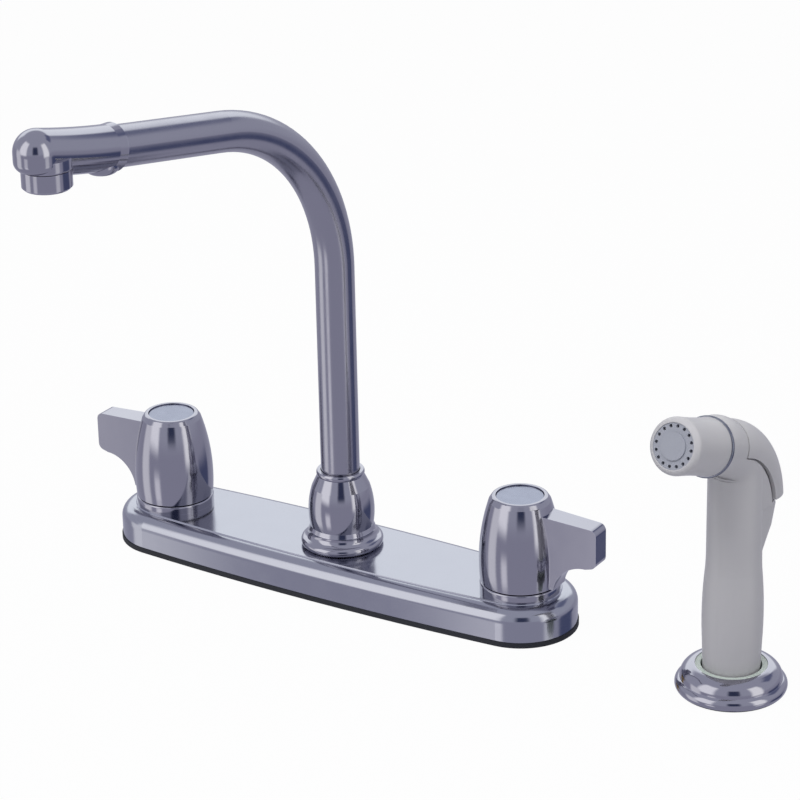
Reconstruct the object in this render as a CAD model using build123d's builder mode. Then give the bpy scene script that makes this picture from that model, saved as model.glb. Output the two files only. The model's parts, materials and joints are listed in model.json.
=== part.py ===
from build123d import *
import os
from math import atan2, cos, pi, radians, sin, sqrt, tan

# Two handle kitchen faucet with a high swivel spout and a side spray, in millimetres.
# Z = 0 is the face of the sink deck, the spout turns about the Z axis, and the front is -Y.

os.makedirs("parts", exist_ok=True)

# ---------------------------------------------------------------- fits
running_fit = 0.05        # radial clearance of a turning or sliding pair
loose_fit = 0.3           # clearance of parts that only pass each other
thread_fit = 0.05         # radial clearance between a nut's thread and its shank
seat_gap = 0.1            # axial gap of a turning part on its bearing face

# ---------------------------------------------------------------- deck plate
handle_pitch = 203.2      # distance between the two inlet shanks (8 in drilling)
plate_end_radius = 27.6   # round ends of the plate, about the handle axes
plate_half_width = 31.0   # half of the plate's width at the spout
plate_top = 19.0          # top of the plate's flat land above the deck
plate_wall = 1.6
shoulder_radius = 6.5     # rounding from the plate's wall to its top
land_inset = 7.4          # flat land's edge, in from the plate's outline
land_height = 0.6
land_edge = 0.35
gasket_thickness = 2.4
gasket_proud = 0.5
gasket_width = 5.0

handle_x = handle_pitch / 2
plate_ceiling = plate_top - plate_wall

# ---------------------------------------------------------------- valve body, a cast bridge
body_bottom = 1.0
barrel_radius = 13.0
neck_radius = 10.3        # threaded neck that the collar and bonnet nut screw on
neck_top = 29.0
valve_bore = 8.2
bridge_radius = 6.4
bridge_bore = 4.5
bridge_height = 9.4
post_barrel_radius = 16.0
post_radius = 13.4        # threaded post that the spout nut screws on
post_top = 44.0
post_bore = 11.3
post_bore_floor = 23.0
diverter_bore = 7.0
diverter_floor = 4.5
hole_fit = 0.4            # plate holes around necks and post

# ---------------------------------------------------------------- shanks and what clamps them
shank_radius = 10.3
shank_bottom = -52.0
shank_bore = 4.2
spigot_radius = 9.2
spigot_length = 4.0
spring_pocket_radius = 5.4
spring_pocket_depth = 7.0
deck_thickness = 12.0     # sink deck between the gasket and the mounting washers
mount_washer_radius = 20.0
mount_washer_thickness = 1.6
mount_nut_radius = 14.0
mount_nut_height = 9.0
mount_nut_wing = 21.0
mount_nut_wing_width = 6.0
relief_below_nut = 2.4    # thread relief that parts the nut's thread from the hose thread
relief_width = 1.5
relief_depth = 0.8

# ---------------------------------------------------------------- valve cartridge, stem and handle fixing
cartridge_bottom = 8.0
cartridge_flange = 2.0
cartridge_flange_radius = 10.2
cartridge_cavity = 6.8
cartridge_cavity_depth = 4.0
cartridge_top = 34.0
cartridge_nose = 6.6
bonnet_across = 24.0
bonnet_height = 10.0
bonnet_lip = 2.6
stem_radius = 4.9
stem_disc_radius = 6.5
stem_disc_thickness = 3.0
stem_drop = 10.4          # stem's end, below the handle's top
broach_length = 14.0
broach_width = 7.6        # across the flats of the stem's eight point broach
seal_height = 1.8
seal_section = 1.0
seal_level = 21.0
seat_radius = 5.2
seat_bore = 2.2
seat_height = 5.4
seat_spring_radius = 4.9
spring_wire = 1.0
screw_radius = 2.3
screw_head_radius = 4.3
screw_head_height = 2.6
screw_engagement = 10.0
screw_slot_width = 1.0
screw_slot_depth = 1.0

# ---------------------------------------------------------------- handle collar and handle
collar_radius = 19.6
collar_height = 4.2
collar_edge = 1.0
handle_bottom = 23.8
handle_foot_radius = 19.4
handle_mid_radius = 19.3
handle_mid_height = 44.0
handle_rim_height = 65.0
handle_top_lift = 2.4     # top face, above the rim
handle_rim_radius = 14.9
handle_top_radius = 13.3
handle_cavity_radius = 16.3
handle_cavity_top = 46.0
handle_boss_radius = 8.5
boss_bottom = 41.0
button_radius = 11.6
button_recess = 2.8
button_thickness = 2.2
button_stem_radius = 5.0
button_stem_length = 1.0
wing_reach = 43.6
wing_root_drop = 3.0      # wing's top edge at its root and tip, below the handle's rim
wing_tip_drop = 5.1
wing_tip_height = 19.3
wing_root_thickness = 12.4
wing_tip_thickness = 10.0
wing_arch_radius = 17.1
wing_arch_reach = 38.0
wing_arch_drop = 18.6     # centre of the arch's round, below the wing tip's lower edge
wing_tip_rounding = 3.4
wing_edge = 1.2

# ---------------------------------------------------------------- spout
spout_swing = 8.7         # degrees that the spout stands towards the left handle at rest
tube_radius = 9.525       # three quarter inch tube
tube_wall = 1.0
tube_bottom = 24.0
bend_start = 163.8
bend_radius = 87.8
arm_rise = 8.9            # degrees that the arm climbs towards the head
tube_in_head = 12.0
spout_collar_radius = 11.25
spout_collar_top = 46.6
spout_flange_radius = 13.1
spout_flange_thickness = 1.5
bearing_thickness = 1.0
ring_count = 2
ring_pitch = 7.0
ring_first = 28.0
ring_height = 2.0
ring_section = 1.15

# spout nut, a bell shape, and the ring that it stands on
base_ring_radius = 20.4
base_ring_top = 27.6
nut_foot_radius = 16.5
nut_waist_radius = 15.7
nut_waist_height = 29.6
nut_belly_radius = 16.3
nut_belly_height = 38.0
nut_shoulder_radius = 14.3
nut_shoulder_height = 50.0
nut_neck_radius = 11.9
nut_neck_height = 56.0
nut_top = 58.6
nut_bore = 13.6
nut_ceiling = 46.9
bead_radius = 1.3

# spout head, aerator
sleeve_radius = 10.3
sleeve_flare = 0.6        # the sleeve widens by this much at its end
flare_length = 9.0
nose_reach = 185.2        # centre of the rounded nose
sleeve_run = 43.7         # the sleeve starts this far behind the nose's centre
nose_lift = 9.1           # nose's centre, above the sleeve's start
nose_drop = 8.4           # flat underside, below the nose's centre
nose_edge = 4.6
outlet_back = 4.9         # outlet axis, behind the nose's centre
outlet_drop = 8.7         # outlet boss's foot, below the nose's centre
outlet_boss_radius = 11.6
outlet_boss_height = 5.5
outlet_boss_edge = 1.2
outlet_bore = 7.6
outlet_bore_height = 3.5
head_bore = 5.0
lug_radius = 8.2
lug_distance = 6.5        # screw boss, from the sleeve's end
lug_drop = 11.3
lug_edge = 4.4
set_screw_radius = 2.5
set_screw_length = 1.6
set_screw_relief = 0.6
set_screw_socket = 2.5
aerator_radius = 11.1
aerator_length = 8.5
aerator_room = 0.5
aerator_wall = 1.3
aerator_spigot = 9.3
aerator_spigot_length = 3.0
aerator_edge = 1.0
aerator_washer_thickness = 1.2
aerator_lip = 1.2
aerator_mouth = 7.2
insert_height = 5.0
insert_bore = 2.0
insert_hole_count = 10
insert_hole_circle = 5.2
insert_hole_radius = 0.9
screen_thickness = 0.8
screen_pitch = 3.0
screen_hole = 1.1

# ---------------------------------------------------------------- diverter and spray outlet
piston_bottom = 9.0
piston_height = 6.0
piston_travel = 2.5
piston_pin_radius = 2.6
cage_thickness = 2.6
nipple_radius = 6.7
nipple_length = 30.0
nipple_bore = 3.0
nipple_spigot = 4.8
nipple_hex = 15.0
nipple_hex_height = 5.0

# ---------------------------------------------------------------- spray holder
spray_x = 219.0
spray_y = -10.0
holder_radius = 26.0
holder_height = 13.0
holder_foot_edge = 2.2
holder_widest = 3.2
holder_crown_radius = 21.4
holder_crown_height = 11.4
holder_lip_radius = 17.4
holder_rim_bore = 16.8
holder_step = 9.6
holder_bore = 15.6
sleeve_shank_radius = 15.2
sleeve_shank_bottom = -36.0
sleeve_shank_bore = 12.6
sleeve_rim_radius = 16.7
sleeve_rim_top = 12.7
sleeve_mouth = 14.2
sleeve_seat = 13.2
sleeve_ledge = 3.0
sleeve_ledge_bore = 10.0
holder_washer_radius = 23.0
holder_nut_radius = 21.5
holder_nut_height = 7.0
holder_nut_lobes = 6
holder_nut_lobe_radius = 3.0

# ---------------------------------------------------------------- side spray
spray_turn = 6.6          # degrees that the nozzle points towards the left of the front
nozzle_tilt = 20.0        # degrees that the nozzle points up
coupling_top = 24.0
coupling_top_radius = 13.7
coupling_foot_radius = 12.9
coupling_thread = 10.3
thread_bottom = 13.0
coupling_shoulder = 9.0
hose_hole = 6.6
coupling_edge = 1.0
grip_foot_radius = 13.7
grip_low_radius = 14.1
grip_low_height = 40.0
grip_mid_radius = 12.9
grip_mid_height = 62.0
grip_radius = 12.7
grip_straight_drop = 42.9 # these drops are measured from the neck's height
grip_into_neck = 4.0      # the turned grip ends inside the bent tube
grip_bore = 8.6
grip_bore_drop = 48.9
neck_height = 120.9       # where the nozzle axis meets the grip axis
neck_length = 25.0        # grip axis to the trim ring
neck_bend = 17.1
neck_end = 13.0           # the bent tube ends inside the cuff
cuff_start = 11.5
cuff_back_radius = 12.9
cuff_front_radius = 13.2
hump_foot_drop = 51.0
hump_belly_drop = 40.0
hump_drop = 30.8
hump_top_drop = 10.9
hump_reach = 11.8
hump_belly_reach = 8.9
hump_end_reach = 1.6
hump_radius = 11.8
hump_inset = 0.4          # the hump starts this far inside the grip's surface
spigot_reach = 5.0        # threaded spigot in front of the cuff, for ring and nozzle
spigot_size = 9.7
spray_way = 5.0
trim_ring_radius = 13.9
trim_ring_width = 1.8
trim_ring_edge = 0.6
nozzle_length = 27.4
nozzle_root_radius = 13.2
nozzle_waist_radius = 12.7
nozzle_waist = 14.0
nozzle_front_radius = 13.0
nozzle_edge = 3.0
nozzle_lip = 0.7
nozzle_way = 9.0
face_radius = 10.4
face_thickness = 2.0
face_set_back = 0.4
face_hole_count = 16
face_hole_circle = 9.0
face_hole_radius = 0.8
face_boss_radius = 6.2
face_boss_height = 0.7

# thumb lever, a curved shell over the back of the head
lever_path_radius = 36.0
lever_path_back = 16.1    # shell's centre line behind the grip axis, at its lower end
lever_outer = 13.0
lever_inner = 11.1
lever_edge = 34.0         # side edges, from the bend's centre
lever_gap = 0.7           # clearance between the shell and the head under it
lever_edge_gap = 0.6      # clearance below the side edges
lever_swing_room = 2.1    # more of it towards the tip, where the lever swings further
lever_tip_room = 1.3      # and below the tip
lever_swing_share = 0.68  # of that room, half way down the bend
lever_front_gap = 0.9     # between the shell's front and the cuff
lever_clear_of = 3.0      # the room for the shell is cut this far outside it
lever_tip_drop = 27.4
core_depth = 4.8          # the body's core inside the shell, behind the cheeks
core_half_width = 9.4
cheek_half_width = 12.4
lever_travel = 3.0        # degrees that the lever is pressed
pivot_reach = 4.0
pivot_lift = 10.1         # above the neck's height
pusher_depth = 2.0
pusher_radius = 3.2
pin_radius = 1.3
pin_half_length = 8.5

# spray valve, pressed by the lever
valve_drop = 20.9         # valve's axis, below the neck's height
valve_chamber = 4.4
valve_chamber_front = 7.0
guide_front = -9.0
guide_back = -15.5
plunger_radius = 2.6
plunger_proud = 0.9       # end of the plunger, in front of the lever's inner face
plunger_head_radius = 4.0
plunger_head_back = -8.4
plunger_head_front = -6.4
plunger_front = -1.0
plunger_travel = 1.8
valve_spring_wire = 1.0
spray_seal_width = 1.2
inlet_way = 3.4
hose_nipple_radius = 6.0
hose_nipple_bottom = -14.0
hose_neck_radius = 6.4
hose_flange = 9.6
hose_flange_thickness = 2.6


# ---------------------------------------------------------------- shared shapes
def plate_outline(inset):
    """Round ends about the handle axes, joined by long shallow side arcs."""
    end_radius = plate_end_radius - inset
    half_width = plate_half_width - inset
    side_radius = (handle_x**2 + half_width**2 - end_radius**2) / (2 * (half_width - end_radius))
    lean = atan2(side_radius - half_width, handle_x)
    join_x = handle_x + end_radius * cos(lean)
    join_y = end_radius * sin(lean)
    end_x = handle_x + end_radius
    with BuildLine() as outline:
        ThreePointArc((-join_x, join_y), (0, half_width), (join_x, join_y))
        ThreePointArc((join_x, join_y), (end_x, 0), (join_x, -join_y))
        ThreePointArc((join_x, -join_y), (0, -half_width), (-join_x, -join_y))
        ThreePointArc((-join_x, -join_y), (-end_x, 0), (-join_x, join_y))
    make_face(outline.edges())


def ring(radius, bore, bottom, top):
    """A plain ring about Z, added to the part in hand."""
    with BuildSketch(Plane.XY.offset(bottom)) as section:
        Circle(radius)
        Circle(bore, mode=Mode.SUBTRACT)
    extrude(section.sketch, amount=top - bottom)


def drill(radius, bottom, top):
    """A round hole about Z, cut from the part in hand."""
    with BuildSketch(Plane.XY.offset(bottom)) as section:
        Circle(radius)
    extrude(section.sketch, amount=top - bottom, mode=Mode.SUBTRACT)


def save(piece, name):
    """Labels a finished piece and writes it."""
    piece.label = name
    export_step(piece, f"parts/{name}.step")


def at_handles(piece):
    """The same piece on both handle axes, as one group of solids."""
    return Compound(children=[piece.moved(Location((side * handle_x, 0, 0))) for side in (-1, 1)])


# ---------------------------------------------------------------- deck plate
with BuildPart() as plate_cavity:
    with BuildSketch(Plane.XY.offset(gasket_thickness)):
        plate_outline(plate_wall)
    extrude(amount=plate_ceiling - gasket_thickness)
    fillet(plate_cavity.faces().sort_by(Axis.Z)[-1].edges(), shoulder_radius - plate_wall)

with BuildPart() as deck_plate:
    with BuildSketch(Plane.XY.offset(gasket_thickness)):
        plate_outline(0)
    extrude(amount=plate_top - land_height - gasket_thickness)
    fillet(deck_plate.faces().sort_by(Axis.Z)[-1].edges(), shoulder_radius)
    with BuildSketch(Plane.XY.offset(plate_top - land_height)):
        plate_outline(land_inset)
    extrude(amount=land_height)
    chamfer(deck_plate.faces().sort_by(Axis.Z)[-1].edges(), land_edge)
    add(plate_cavity.part, mode=Mode.SUBTRACT)
    with BuildSketch(Plane.XY.offset(plate_ceiling - plate_wall)):
        with Locations((-handle_x, 0), (handle_x, 0)):
            Circle(neck_radius + hole_fit)
        Circle(post_radius + hole_fit)
    extrude(amount=3 * plate_wall, mode=Mode.SUBTRACT)
save(deck_plate.part, "deck_plate")

with BuildPart() as plate_gasket:
    with BuildSketch():
        plate_outline(-gasket_proud)
    extrude(amount=gasket_thickness)
    with BuildSketch():
        plate_outline(gasket_width)
    extrude(amount=gasket_thickness, mode=Mode.SUBTRACT)
save(plate_gasket.part, "plate_gasket")

# ---------------------------------------------------------------- valve body
with BuildPart() as valve_body:
    with BuildSketch(Plane.YZ.offset(-handle_x)):
        with Locations((0, bridge_height)):
            Circle(bridge_radius)
    extrude(amount=handle_pitch)
    with BuildSketch(Plane.XY.offset(body_bottom)):
        with Locations((-handle_x, 0), (handle_x, 0)):
            Circle(barrel_radius)
        Circle(post_barrel_radius)
    extrude(amount=plate_ceiling - body_bottom)
    with BuildSketch(Plane.XY.offset(plate_ceiling)):
        with Locations((-handle_x, 0), (handle_x, 0)):
            Circle(neck_radius)
    extrude(amount=neck_top - plate_ceiling)
    with BuildSketch(Plane.XY.offset(plate_ceiling)):
        Circle(post_radius)
    extrude(amount=post_top - plate_ceiling)
    # waterway between the two valves, stopped inside each barrel
    with BuildSketch(Plane.YZ.offset(-handle_x)):
        with Locations((0, bridge_height)):
            Circle(bridge_bore)
    extrude(amount=handle_pitch, mode=Mode.SUBTRACT)
    # valve bores, with a threaded mouth for each shank's spigot
    with BuildSketch(Plane.XY.offset(body_bottom)):
        with Locations((-handle_x, 0), (handle_x, 0)):
            Circle(spigot_radius)
    extrude(amount=spigot_length, mode=Mode.SUBTRACT)
    with BuildSketch(Plane.XY.offset(body_bottom + spigot_length)):
        with Locations((-handle_x, 0), (handle_x, 0)):
            Circle(valve_bore)
    extrude(amount=neck_top - body_bottom - spigot_length, mode=Mode.SUBTRACT)
    drill(post_bore, post_bore_floor, post_top)
    drill(diverter_bore, diverter_floor, post_bore_floor)
    drill(nipple_spigot, body_bottom, diverter_floor)
save(valve_body.part, "valve_body")

# ---------------------------------------------------------------- inlet shanks
washer_top = -deck_thickness
nut_under_deck = washer_top - mount_washer_thickness
relief_top = nut_under_deck - mount_nut_height - relief_below_nut
for side, name in ((-1, "left_inlet_shank"), (1, "right_inlet_shank")):
    with BuildPart() as inlet_shank:
        ring(shank_radius, shank_bore, shank_bottom, body_bottom)
        ring(spigot_radius, shank_bore, body_bottom, body_bottom + spigot_length)
        drill(spring_pocket_radius, body_bottom + spigot_length - spring_pocket_depth,
              body_bottom + spigot_length)
        with BuildSketch(Plane.XY.offset(relief_top - relief_width)):
            Circle(shank_radius)
            Circle(shank_radius - relief_depth, mode=Mode.SUBTRACT)
        extrude(amount=relief_width, mode=Mode.SUBTRACT)
        chamfer(inlet_shank.edges().group_by(Axis.Z)[0].sort_by(SortBy.RADIUS)[-1], 1.0)
    save(inlet_shank.part.moved(Location((side * handle_x, 0, 0))), name)

with BuildPart() as mounting_washer:
    ring(mount_washer_radius, shank_radius + thread_fit, nut_under_deck, washer_top)
save(at_handles(mounting_washer.part), "mounting_washers")

with BuildPart() as mounting_nut:
    with BuildSketch(Plane.XY.offset(nut_under_deck - mount_nut_height)):
        Circle(mount_nut_radius)
        with PolarLocations(0, 2):
            Rectangle(2 * mount_nut_wing, mount_nut_wing_width)
        Circle(shank_radius + thread_fit, mode=Mode.SUBTRACT)
    extrude(amount=mount_nut_height)
    fillet(mounting_nut.edges().filter_by(Axis.Z), 1.0)
save(at_handles(mounting_nut.part), "mounting_nuts")

# ---------------------------------------------------------------- seats and their springs
spring_floor = body_bottom + spigot_length - spring_pocket_depth
seat_bottom = cartridge_bottom - seat_height
with BuildPart() as seat_spring:
    ring(seat_spring_radius, seat_spring_radius - spring_wire, spring_floor, seat_bottom)
save(at_handles(seat_spring.part), "seat_springs")

with BuildPart() as valve_seat:
    ring(seat_radius, seat_bore, seat_bottom, cartridge_bottom)
save(at_handles(valve_seat.part), "valve_seats")

# ---------------------------------------------------------------- valve cartridges
for side, name in ((-1, "left_valve_cartridge"), (1, "right_valve_cartridge")):
    with BuildPart() as cartridge:
        ring(valve_bore - running_fit, seat_bore, cartridge_bottom, neck_top)
        ring(cartridge_flange_radius, stem_radius, neck_top, neck_top + cartridge_flange)
        ring(cartridge_nose, stem_radius, neck_top + cartridge_flange, cartridge_top)
        drill(stem_radius + running_fit, cartridge_bottom + 2 * stem_disc_thickness / 3, cartridge_top)
        drill(cartridge_cavity, cartridge_bottom + 2 * stem_disc_thickness / 3,
              cartridge_bottom + 2 * stem_disc_thickness / 3 + cartridge_cavity_depth)
        with BuildSketch(Plane.YZ):
            with Locations((0, bridge_height + 1.0)):
                Circle(bridge_bore - 1.0)
        extrude(amount=-side * barrel_radius, mode=Mode.SUBTRACT)
    save(cartridge.part.moved(Location((side * handle_x, 0, 0))), name)

with BuildPart() as bonnet_nut:
    with BuildSketch(Plane.XY.offset(neck_top - bonnet_height + cartridge_flange + bonnet_lip)):
        RegularPolygon(bonnet_across / 2, 6, major_radius=False)
    extrude(amount=bonnet_height)
    drill(neck_radius + thread_fit, neck_top - bonnet_height, neck_top + cartridge_flange)
    drill(cartridge_nose + loose_fit, neck_top, cartridge_top)
save(at_handles(bonnet_nut.part), "bonnet_nuts")

# ---------------------------------------------------------------- collars under the handles
for side, name in ((-1, "left_handle_collar"), (1, "right_handle_collar")):
    with BuildPart() as collar:
        ring(collar_radius, neck_radius + thread_fit, plate_top, plate_top + collar_height)
        fillet(collar.edges().group_by(Axis.Z)[-1].sort_by(SortBy.RADIUS)[-1], collar_edge)
    save(collar.part.moved(Location((side * handle_x, 0, 0))), name)


# ---------------------------------------------------------------- handles
handle_top = handle_rim_height + handle_top_lift
stem_top = handle_top - stem_drop
wing_root_top = handle_rim_height - wing_root_drop
wing_tip_top = handle_rim_height - wing_tip_drop
wing_tip_bottom = wing_tip_top - wing_tip_height
wing_arch_height = wing_tip_bottom - wing_arch_drop


def handle_wing(side):
    """Flat wing: its side profile, cut to a plan that thins towards the tip."""
    with BuildPart() as wing:
        with BuildSketch(Plane.XZ):
            arch_top = wing_arch_height + wing_arch_radius
            arch_foot = handle_bottom + 0.6
            foot_reach = wing_arch_reach - sqrt(wing_arch_radius**2 - (wing_arch_height - arch_foot) ** 2)
            mid = wing_arch_radius * sqrt(0.5)
            with BuildLine():
                Polyline((0, arch_foot), (0, wing_root_top), (side * wing_reach, wing_tip_top),
                         (side * wing_reach, wing_tip_bottom), (side * wing_arch_reach, arch_top))
                ThreePointArc((side * wing_arch_reach, arch_top),
                              (side * (wing_arch_reach - mid), wing_arch_height + mid),
                              (side * foot_reach, arch_foot))
                Line((side * foot_reach, arch_foot), (0, arch_foot))
            make_face()
        extrude(amount=wing_root_thickness, both=True)
        tip_edges = wing.edges().filter_by(Axis.Y).filter_by(
            lambda edge: abs(edge.center().X) > wing_reach - 0.1)
        fillet(tip_edges, wing_tip_rounding)
        with BuildSketch():
            Polygon((0, wing_root_thickness / 2), (side * wing_reach, wing_tip_thickness / 2),
                    (side * wing_reach, -wing_tip_thickness / 2), (0, -wing_root_thickness / 2), align=None)
        extrude(amount=handle_top, mode=Mode.INTERSECT)
    return wing.part


def broach(width):
    """Eight point star of the stem's end: two squares, one turned by 45 degrees."""
    Rectangle(width, width)
    Rectangle(width, width, rotation=45)


for side, hand in ((-1, "left"), (1, "right")):
    place = Location((side * handle_x, 0, 0))
    wing_part = handle_wing(side)
    with BuildPart() as handle:
        with BuildSketch(Plane.XZ):
            with BuildLine():
                Polyline((0, handle_top), (0, handle_bottom), (handle_foot_radius, handle_bottom))
                ThreePointArc((handle_foot_radius, handle_bottom), (handle_mid_radius, handle_mid_height),
                              (handle_rim_radius, handle_rim_height))
                Polyline((handle_rim_radius, handle_rim_height), (handle_top_radius, handle_top),
                         (0, handle_top))
            make_face()
        revolve(axis=Axis.Z)
        add(wing_part)
        rim_edges = handle.edges().filter_by(GeomType.CIRCLE).filter_by(
            lambda edge: edge.center().Z > handle_rim_height - 0.5)
        fillet(rim_edges, 1.1)
        # hollow underneath, with a boss around the stem
        drill(handle_cavity_radius, handle_bottom, handle_cavity_top)
        with BuildSketch(Plane.XY.offset(boss_bottom)):
            Circle(handle_boss_radius)
        extrude(amount=handle_cavity_top - boss_bottom)
        drill(stem_radius + loose_fit, boss_bottom, stem_top - broach_length + loose_fit)
        with BuildSketch(Plane.XY.offset(stem_top - broach_length)):
            broach(broach_width + 2 * running_fit)
        extrude(amount=broach_length + loose_fit, mode=Mode.SUBTRACT)
        # recess for the index button, and the screw's seat below it
        drill(button_radius + running_fit, handle_top - button_recess, handle_top)
        drill(screw_head_radius + loose_fit, handle_top - button_recess - screw_head_height - button_stem_length,
              handle_top)
        drill(screw_radius + loose_fit, stem_top, handle_top)
    save(handle.part.moved(place), f"{hand}_handle")

    with BuildPart() as index_button:
        button_bottom = handle_top - button_recess
        with BuildSketch(Plane.XY.offset(button_bottom)):
            Circle(button_radius)
        extrude(amount=button_thickness)
        fillet(index_button.edges().group_by(Axis.Z)[-1], 0.5)
    save(index_button.part.moved(place), f"{hand}_index_button")

    screw_seat = handle_top - button_recess - screw_head_height - button_stem_length
    with BuildPart() as handle_screw:
        with BuildSketch(Plane.XY.offset(screw_seat)):
            Circle(screw_head_radius)
        extrude(amount=screw_head_height)
        with BuildSketch(Plane.XY.offset(stem_top - screw_engagement)):
            Circle(screw_radius)
        extrude(amount=screw_seat - stem_top + screw_engagement)
        with BuildSketch(Plane.XY.offset(screw_seat + screw_head_height - screw_slot_depth)):
            Rectangle(2 * screw_head_radius, screw_slot_width)
            Rectangle(screw_slot_width, 2 * screw_head_radius)
        extrude(amount=screw_slot_depth, mode=Mode.SUBTRACT)
    save(handle_screw.part.moved(place), f"{hand}_handle_screw")

    stem_foot = cartridge_bottom + 2 * stem_disc_thickness / 3 + seat_gap
    with BuildPart() as stem:
        with BuildSketch(Plane.XY.offset(stem_foot)):
            Circle(stem_disc_radius)
        extrude(amount=stem_disc_thickness)
        with BuildSketch(Plane.XY.offset(stem_foot)):
            Circle(stem_radius)
        extrude(amount=stem_top - broach_length - stem_foot)
        with BuildSketch(Plane.XY.offset(stem_top - broach_length)):
            broach(broach_width)
        extrude(amount=broach_length)
        with BuildSketch(Plane.XY.offset(seal_level)):
            Circle(stem_radius)
            Circle(stem_radius - seal_section, mode=Mode.SUBTRACT)
        extrude(amount=seal_height, mode=Mode.SUBTRACT)
        drill(screw_radius, stem_top - screw_engagement, stem_top)
    save(stem.part.moved(place), f"{hand}_stem")

    with BuildPart() as stem_seal:
        ring(stem_radius, stem_radius - seal_section, seal_level, seal_level + seal_height)
    save(stem_seal.part.moved(place), f"{hand}_stem_o_ring")

# ---------------------------------------------------------------- diverter and spray outlet
with BuildPart() as diverter_piston:
    with BuildSketch(Plane.XY.offset(piston_bottom)):
        Circle(diverter_bore - running_fit)
    extrude(amount=piston_height)
    with BuildSketch(Plane.XY.offset(diverter_floor + loose_fit)):
        Circle(piston_pin_radius)
    extrude(amount=piston_bottom - diverter_floor - loose_fit)
save(diverter_piston.part, "diverter_piston")

cage_bottom = piston_bottom + piston_height + piston_travel + loose_fit
with BuildPart() as diverter_cage:
    ring(diverter_bore, piston_pin_radius, cage_bottom, cage_bottom + cage_thickness)
save(diverter_cage.part, "diverter_cage")

with BuildPart() as spray_outlet_nipple:
    ring(nipple_spigot, nipple_bore, body_bottom, diverter_floor)
    ring(nipple_radius, nipple_bore, body_bottom - nipple_length, body_bottom)
    with BuildSketch(Plane.XY.offset(body_bottom - nipple_hex_height)):
        RegularPolygon(nipple_hex / 2, 6, major_radius=False)
        Circle(nipple_bore, mode=Mode.SUBTRACT)
    extrude(amount=nipple_hex_height)
save(spray_outlet_nipple.part, "spray_outlet_nipple")

# ---------------------------------------------------------------- spout nut and its base ring
with BuildPart() as spout_base_ring:
    with BuildSketch(Plane.XZ):
        rim = 1.5
        with BuildLine():
            Polyline((post_radius + thread_fit, base_ring_top), (post_radius + thread_fit, plate_top),
                     (base_ring_radius - rim, plate_top))
            ThreePointArc((base_ring_radius - rim, plate_top), (base_ring_radius, plate_top + 2.2),
                          (base_ring_radius - rim, plate_top + 4.4))
            ThreePointArc((base_ring_radius - rim, plate_top + 4.4), (nut_foot_radius + 0.6, plate_top + 5.7),
                          (nut_foot_radius, base_ring_top))
            Line((nut_foot_radius, base_ring_top), (post_radius + thread_fit, base_ring_top))
        make_face()
    revolve(axis=Axis.Z)
save(spout_base_ring.part, "spout_base_ring")

with BuildPart() as spout_nut:
    with BuildSketch(Plane.XZ):
        with BuildLine():
            Polyline((nut_bore, nut_ceiling), (nut_bore, base_ring_top), (nut_foot_radius, base_ring_top),
                     (nut_waist_radius, nut_waist_height))
            ThreePointArc((nut_waist_radius, nut_waist_height), (nut_belly_radius, nut_belly_height),
                          (nut_shoulder_radius, nut_shoulder_height))
            Polyline((nut_shoulder_radius, nut_shoulder_height), (nut_neck_radius - 0.4, nut_neck_height))
            ThreePointArc((nut_neck_radius - 0.4, nut_neck_height), (nut_neck_radius, nut_neck_height + bead_radius),
                          (nut_neck_radius - 0.5, nut_top))
            Polyline((nut_neck_radius - 0.5, nut_top), (tube_radius + loose_fit, nut_top),
                     (tube_radius + loose_fit, nut_ceiling), (nut_bore, nut_ceiling))
        make_face()
    revolve(axis=Axis.Z)
save(spout_nut.part, "spout_nut")

# ---------------------------------------------------------------- spout, swung about Z to its place at rest
rise = radians(arm_rise)
turn = radians(90 - arm_rise)
bend_top = bend_start + bend_radius * sin(turn)
bend_reach = bend_radius * (1 - cos(turn))
spout_plane = Plane(origin=(0, 0, 0), x_dir=(-sin(radians(spout_swing)), -cos(radians(spout_swing)), 0),
                    z_dir=(-cos(radians(spout_swing)), sin(radians(spout_swing)), 0))


def along_arm(distance, lift=0.0):
    """A point of the spout's plane: distance along the arm from the bend's end, lift square to it."""
    return (bend_reach + distance * cos(rise) - lift * sin(rise),
            bend_top + distance * sin(rise) + lift * cos(rise))


def arm_frame(distance, lift=0.0):
    """A plane across the arm, its normal pointing to the head's nose."""
    return Plane(origin=spout_plane.from_local_coords(Vector(*along_arm(distance, lift), 0)),
                 x_dir=spout_plane.z_dir,
                 z_dir=spout_plane.from_local_coords(Vector(cos(rise), sin(rise), 0)))


head_start = (nose_reach - sleeve_run - bend_reach) / cos(rise)
nose_height = along_arm(head_start)[1] + nose_lift
nose_bottom = nose_height - nose_drop
outlet_bottom = nose_height - outlet_drop
outlet_reach = nose_reach - outlet_back
outlet_centre = spout_plane.from_local_coords(Vector(outlet_reach, 0, 0))
nose_centre = spout_plane.from_local_coords(Vector(nose_reach, 0, 0))

with BuildPart() as spout_tube:
    with BuildLine(spout_plane):
        Line((0, tube_bottom), (0, bend_start))
        RadiusArc((0, bend_start), (bend_reach, bend_top), bend_radius)
        Line((bend_reach, bend_top), along_arm(head_start + tube_in_head))
    with BuildSketch(Plane.XY.offset(tube_bottom)):
        Circle(tube_radius)
        Circle(tube_radius - tube_wall, mode=Mode.SUBTRACT)
    sweep()
save(spout_tube.part, "spout_tube")

# brass collar on the tube's foot, turning in the post, with two ring grooves
with BuildPart() as spout_collar:
    ring(spout_collar_radius, tube_radius, tube_bottom, post_top + bearing_thickness + seat_gap)
    ring(spout_flange_radius, tube_radius, spout_collar_top - spout_flange_thickness, spout_collar_top)
    for index in range(ring_count):
        level = ring_first + index * ring_pitch
        with BuildSketch(Plane.XY.offset(level)):
            Circle(spout_collar_radius)
            Circle(spout_collar_radius - ring_section, mode=Mode.SUBTRACT)
        extrude(amount=ring_height, mode=Mode.SUBTRACT)
save(spout_collar.part, "spout_collar")

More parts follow.
